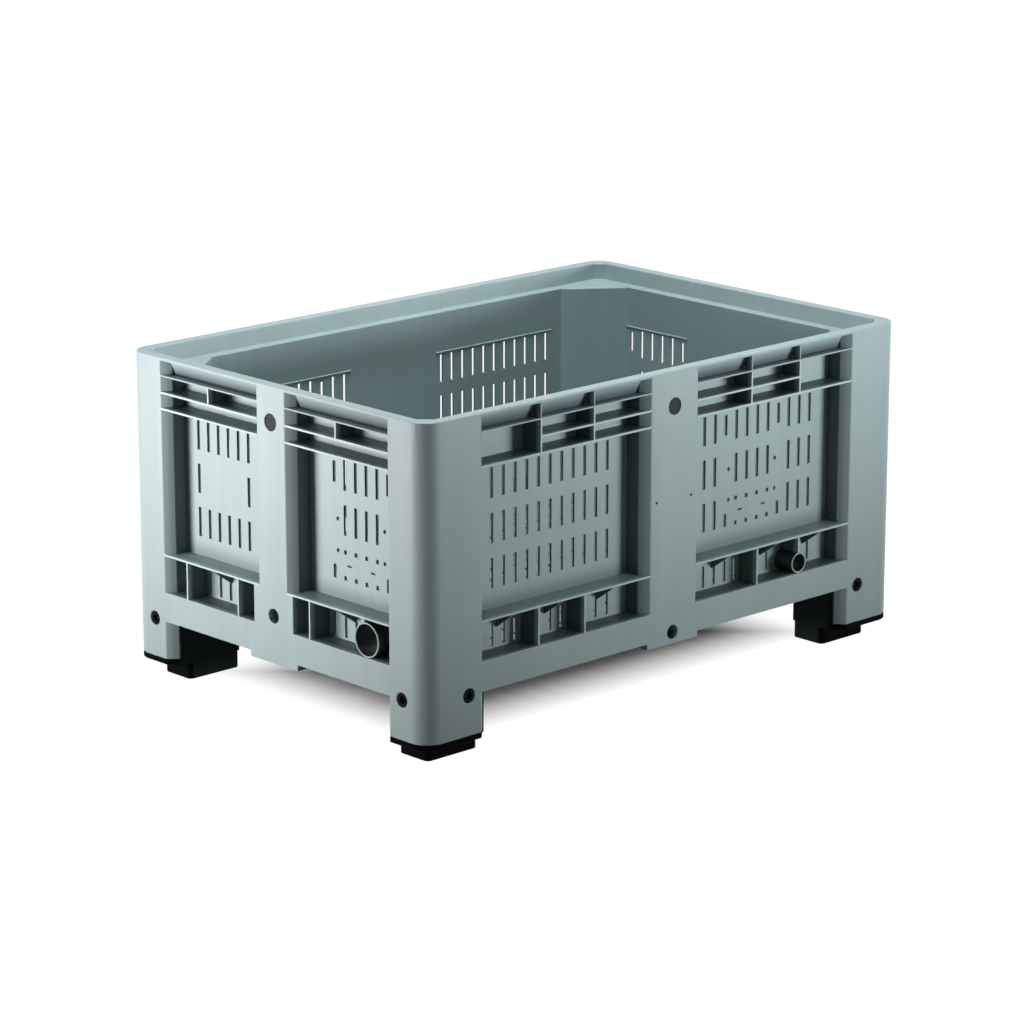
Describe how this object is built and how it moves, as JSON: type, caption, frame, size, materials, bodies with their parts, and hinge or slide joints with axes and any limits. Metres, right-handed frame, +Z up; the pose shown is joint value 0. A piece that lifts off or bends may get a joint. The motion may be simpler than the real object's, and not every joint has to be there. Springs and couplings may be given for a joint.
{
  "type": "fruit bin",
  "caption": "Stackable plastic pallet bin for harvested fruit, with slotted ribbed walls, a stacking lip, pinned corner feet, fork entry from every side and open drain spouts",
  "frame": {"origin": "on the floor, under the middle of the bin", "axes": "+X along the long side to the right seen from the front, +Y from the front to the back, +Z up"},
  "size_m": [1.2, 0.8, 0.61],
  "materials": {
    "shell_grey": "moulded polyethylene, blue-grey, satin",
    "foot_black": "moulded plastic, black, satin",
    "pin_black": "moulded plastic, black, satin",
    "plug_black": "moulded plastic, dark grey, satin"
  },
  "bodies": {
    "bin": {"base_deck": "shell_grey", "beam_back": "shell_grey", "beam_front": "shell_grey", "beam_left": "shell_grey", "beam_right": "shell_grey", "corner_post_back_left": "shell_grey", "corner_post_back_right": "shell_grey", "corner_post_front_left": "shell_grey", "corner_post_front_right": "shell_grey", "foot_back_left": "foot_black", "foot_back_right": "foot_black", "foot_front_left": "foot_black", "foot_front_right": "foot_black", "ledge_back": "shell_grey", "ledge_front": "shell_grey", "ledge_left": "shell_grey", "ledge_right": "shell_grey", "middle_post_back": "shell_grey", "middle_post_front": "shell_grey", "middle_post_left": "shell_grey", "middle_post_right": "shell_grey", "panel_back_left": "shell_grey", "panel_back_right": "shell_grey", "panel_front_left": "shell_grey", "panel_front_right": "shell_grey", "panel_left_back": "shell_grey", "panel_left_front": "shell_grey", "panel_right_back": "shell_grey", "panel_right_front": "shell_grey", "post_plug_back": "plug_black", "post_plug_front": "plug_black", "post_plug_left": "plug_black", "post_plug_right": "plug_black", "rim_lip_back": "shell_grey", "rim_lip_front": "shell_grey", "rim_lip_left": "shell_grey", "rim_lip_right": "shell_grey", "shelf_back": "shell_grey", "shelf_front": "shell_grey", "shelf_left": "shell_grey", "shelf_right": "shell_grey", "sill_ribs_back": "shell_grey", "sill_ribs_front": "shell_grey", "sill_ribs_left": "shell_grey", "sill_ribs_right": "shell_grey", "spout_narrow": "shell_grey", "spout_wide": "shell_grey", "upper_ribs_back": "shell_grey", "upper_ribs_front": "shell_grey", "upper_ribs_left": "shell_grey", "upper_ribs_right": "shell_grey"},
    "pin_back_left_long": {"foot_pin_back_left_long": "pin_black"},
    "pin_back_left_short": {"foot_pin_back_left_short": "pin_black"},
    "pin_back_right_long": {"foot_pin_back_right_long": "pin_black"},
    "pin_back_right_short": {"foot_pin_back_right_short": "pin_black"},
    "pin_front_left_long": {"foot_pin_front_left_long": "pin_black"},
    "pin_front_left_short": {"foot_pin_front_left_short": "pin_black"},
    "pin_front_right_long": {"foot_pin_front_right_long": "pin_black"},
    "pin_front_right_short": {"foot_pin_front_right_short": "pin_black"}
  },
  "joints": [
    {"name": "pin_back_left_long_pull", "type": "slide", "parent": "bin", "child": "pin_back_left_long", "axis": [0, 1, 0], "range_m": [0, 0.045]},
    {"name": "pin_back_left_short_pull", "type": "slide", "parent": "bin", "child": "pin_back_left_short", "axis": [-1, 0, 0], "range_m": [0, 0.045]},
    {"name": "pin_back_right_long_pull", "type": "slide", "parent": "bin", "child": "pin_back_right_long", "axis": [0, 1, 0], "range_m": [0, 0.045]},
    {"name": "pin_back_right_short_pull", "type": "slide", "parent": "bin", "child": "pin_back_right_short", "axis": [1, 0, 0], "range_m": [0, 0.045]},
    {"name": "pin_front_left_long_pull", "type": "slide", "parent": "bin", "child": "pin_front_left_long", "axis": [0, -1, 0], "range_m": [0, 0.045]},
    {"name": "pin_front_left_short_pull", "type": "slide", "parent": "bin", "child": "pin_front_left_short", "axis": [-1, 0, 0], "range_m": [0, 0.045]},
    {"name": "pin_front_right_long_pull", "type": "slide", "parent": "bin", "child": "pin_front_right_long", "axis": [0, -1, 0], "range_m": [0, 0.045]},
    {"name": "pin_front_right_short_pull", "type": "slide", "parent": "bin", "child": "pin_front_right_short", "axis": [1, 0, 0], "range_m": [0, 0.045]}
  ]
}
